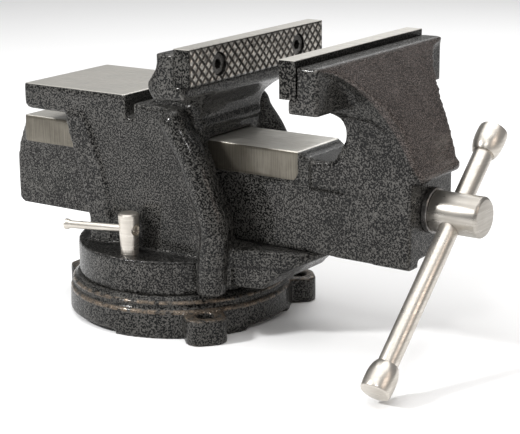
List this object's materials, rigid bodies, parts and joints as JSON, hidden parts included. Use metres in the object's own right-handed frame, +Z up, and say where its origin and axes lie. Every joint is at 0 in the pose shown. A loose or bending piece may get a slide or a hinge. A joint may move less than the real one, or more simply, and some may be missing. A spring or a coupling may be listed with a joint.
{
  "type": "bench vise",
  "caption": "Swivel-base bench vise with knurled steel jaw plates, a sliding channel beam, lead screw with T-handle, rear anvil and lockable turntable.",
  "frame": {"origin": "on the swivel axis, in the plane of the base's three feet", "axes": "+X along the slide from the fixed jaw to the sliding jaw and handle, +Y across the jaws, +Z up along the swivel axis"},
  "size_m": [0.3561, 0.1773, 0.1917],
  "materials": {
    "cast_body": "hammered grey-black paint",
    "cast_jaw": "hammered grey-black paint, ground slide rails",
    "cast_base": "hammered grey-black paint",
    "jaw_steel": "hardened, knurled face and ground top",
    "bright_steel": "satin nickel plate",
    "dark_steel": "blackened steel",
    "nut_iron": "bare cast iron"
  },
  "bodies": {
    "base": {"swivel_base": "cast_base", "pivot_bolt": "dark_steel", "pivot_washer": "dark_steel"},
    "body": {"vise_body": "cast_body", "fixed_jaw_plate": "jaw_steel", "fixed_plate_screws": "dark_steel", "main_nut": "nut_iron", "nut_screws": "dark_steel", "lock_nut_near": "nut_iron", "lock_nut_far": "nut_iron"},
    "slide": {"sliding_jaw": "cast_jaw", "sliding_jaw_plate": "jaw_steel", "sliding_plate_screws": "dark_steel"},
    "screw": {"lead_screw": "bright_steel", "thrust_collar": "dark_steel", "split_pin": "dark_steel", "spring_washer": "dark_steel", "screw_spring": "dark_steel"},
    "handle": {"handle_bar": "bright_steel", "handle_knob_upper": "bright_steel", "handle_knob_lower": "bright_steel"},
    "lock_near": {"lock_bolt_near": "bright_steel"},
    "lock_far": {"lock_bolt_far": "bright_steel"},
    "lock_near_bar": {"lock_bar_near": "bright_steel"},
    "lock_far_bar": {"lock_bar_far": "bright_steel"}
  },
  "joints": [
    {"name": "swivel", "type": "hinge", "parent": "base", "child": "body", "pos_m": [0, 0, 0.0271], "axis": [0, 0, 1], "continuous": true},
    {"name": "jaw_slide", "type": "slide", "parent": "body", "child": "slide", "axis": [1, 0, 0], "range_m": [-0.0632, 0.0865]},
    {"name": "screw_turn", "type": "hinge", "parent": "slide", "child": "screw", "pos_m": [0.2106, 0, 0.0936], "axis": [1, 0, 0], "range_deg": [-4551.4, 6229]},
    {"name": "handle_slide", "type": "slide", "parent": "screw", "child": "handle", "axis": [0, 0.749, 0.6626], "range_m": [-0.0325, 0.095]},
    {"name": "lock_turn_near", "type": "hinge", "parent": "body", "child": "lock_near", "pos_m": [0, -0.0546, 0.0657], "axis": [0, 0, 1], "range_deg": [-20, 140]},
    {"name": "lock_turn_far", "type": "hinge", "parent": "body", "child": "lock_far", "pos_m": [0, 0.0546, 0.0657], "axis": [0, 0, 1], "range_deg": [-20, 140]},
    {"name": "lock_bar_slide_near", "type": "slide", "parent": "lock_near", "child": "lock_near_bar", "axis": [0.9613, 0.2756, 0], "range_m": [0, 0.018]},
    {"name": "lock_bar_slide_far", "type": "slide", "parent": "lock_far", "child": "lock_far_bar", "axis": [-0.9613, -0.2756, 0], "range_m": [0, 0.018]}
  ],
  "couplings": [
    {"joint": "screw_turn", "follows": "jaw_slide", "rad_per_m": 1256.6}
  ]
}
